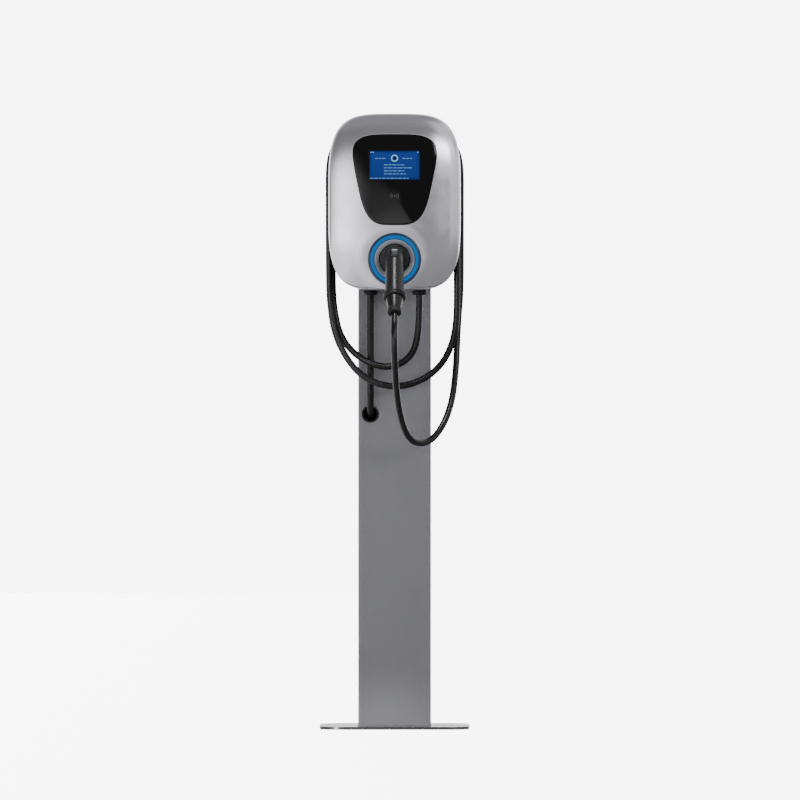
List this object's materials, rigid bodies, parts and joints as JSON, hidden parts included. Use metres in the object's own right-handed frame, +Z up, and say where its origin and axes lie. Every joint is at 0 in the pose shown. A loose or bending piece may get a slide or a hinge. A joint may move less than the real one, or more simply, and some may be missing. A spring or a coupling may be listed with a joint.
{
  "type": "ev charging post",
  "caption": "Floor-standing charging post: box column on a round-cornered plate, domed head with display and lit holster, lead wound over the head.",
  "frame": {"origin": "middle of the base plate's underside", "axes": "+Z up, -Y is the front, +X is to the right as seen from the front"},
  "size_m": [0.308, 0.4646, 1.262],
  "materials": {
    "stainless": "brushed",
    "zinc": "zinc plated",
    "post_paint": "fine powder coat",
    "silver_cover": "silver metallic lacquer",
    "black_plastic": "fine texture",
    "handle_plastic": "satin",
    "rubber": "satin",
    "display_glass": "polished, printed black from behind",
    "blue_ring": "lit diffuser",
    "board": "solder mask",
    "device": "moulded",
    "pin_carrier": "moulded",
    "bezel": "satin grey"
  },
  "bodies": {
    "post": {"access_cover": "post_paint", "access_screw_1": "zinc", "access_screw_2": "zinc", "access_screw_3": "zinc", "access_screw_4": "zinc", "back_plate": "black_plastic", "base_plate": "stainless", "charge_cable": "rubber", "charge_gland_body": "black_plastic", "charge_gland_nut": "black_plastic", "contactor": "device", "cover_frame": "black_plastic", "cover_screw_1": "zinc", "cover_screw_2": "zinc", "cover_screw_3": "zinc", "cover_screw_4": "zinc", "din_rail": "zinc", "display_glass": "display_glass", "foot_angle_left": "zinc", "foot_angle_right": "zinc", "foot_bolt_1": "zinc", "foot_bolt_2": "zinc", "foot_bolt_3": "zinc", "foot_bolt_4": "zinc", "front_cover": "silver_cover", "head_bolt_1": "zinc", "head_bolt_2": "zinc", "head_bolt_3": "zinc", "head_bolt_4": "zinc", "head_bracket": "zinc", "holster_cup": "black_plastic", "housing_gasket": "rubber", "junction_box": "device", "lcd_module": "device", "led_board": "board", "light_ring": "blue_ring", "main_board": "board", "post_column": "post_paint", "post_top_cap": "black_plastic", "power_supply": "device", "reader_board": "board", "rear_housing": "black_plastic", "residual_breaker": "device", "ring_bezel": "bezel", "supply_cable": "rubber", "supply_gland_body": "black_plastic", "supply_gland_nut": "black_plastic", "supply_grommet": "rubber", "terminal_block": "device"},
    "connector": {"cable_collar": "rubber", "charge_cable_drop": "rubber", "connector_cap_nut": "handle_plastic", "connector_handle": "handle_plastic", "connector_shell": "handle_plastic", "pin_carrier": "pin_carrier", "strain_cone": "rubber"},
    "button": {"thumb_button": "black_plastic"}
  },
  "joints": [
    {"name": "connector_pull", "type": "slide", "parent": "post", "child": "connector", "axis": [0, -0.9962, -0.0872], "range_m": [0, 0.08]},
    {"name": "button_press", "type": "slide", "parent": "connector", "child": "button", "axis": [0, 0.5736, -0.8192], "range_m": [0, 0.002], "stiffness_N_per_m": 900}
  ]
}
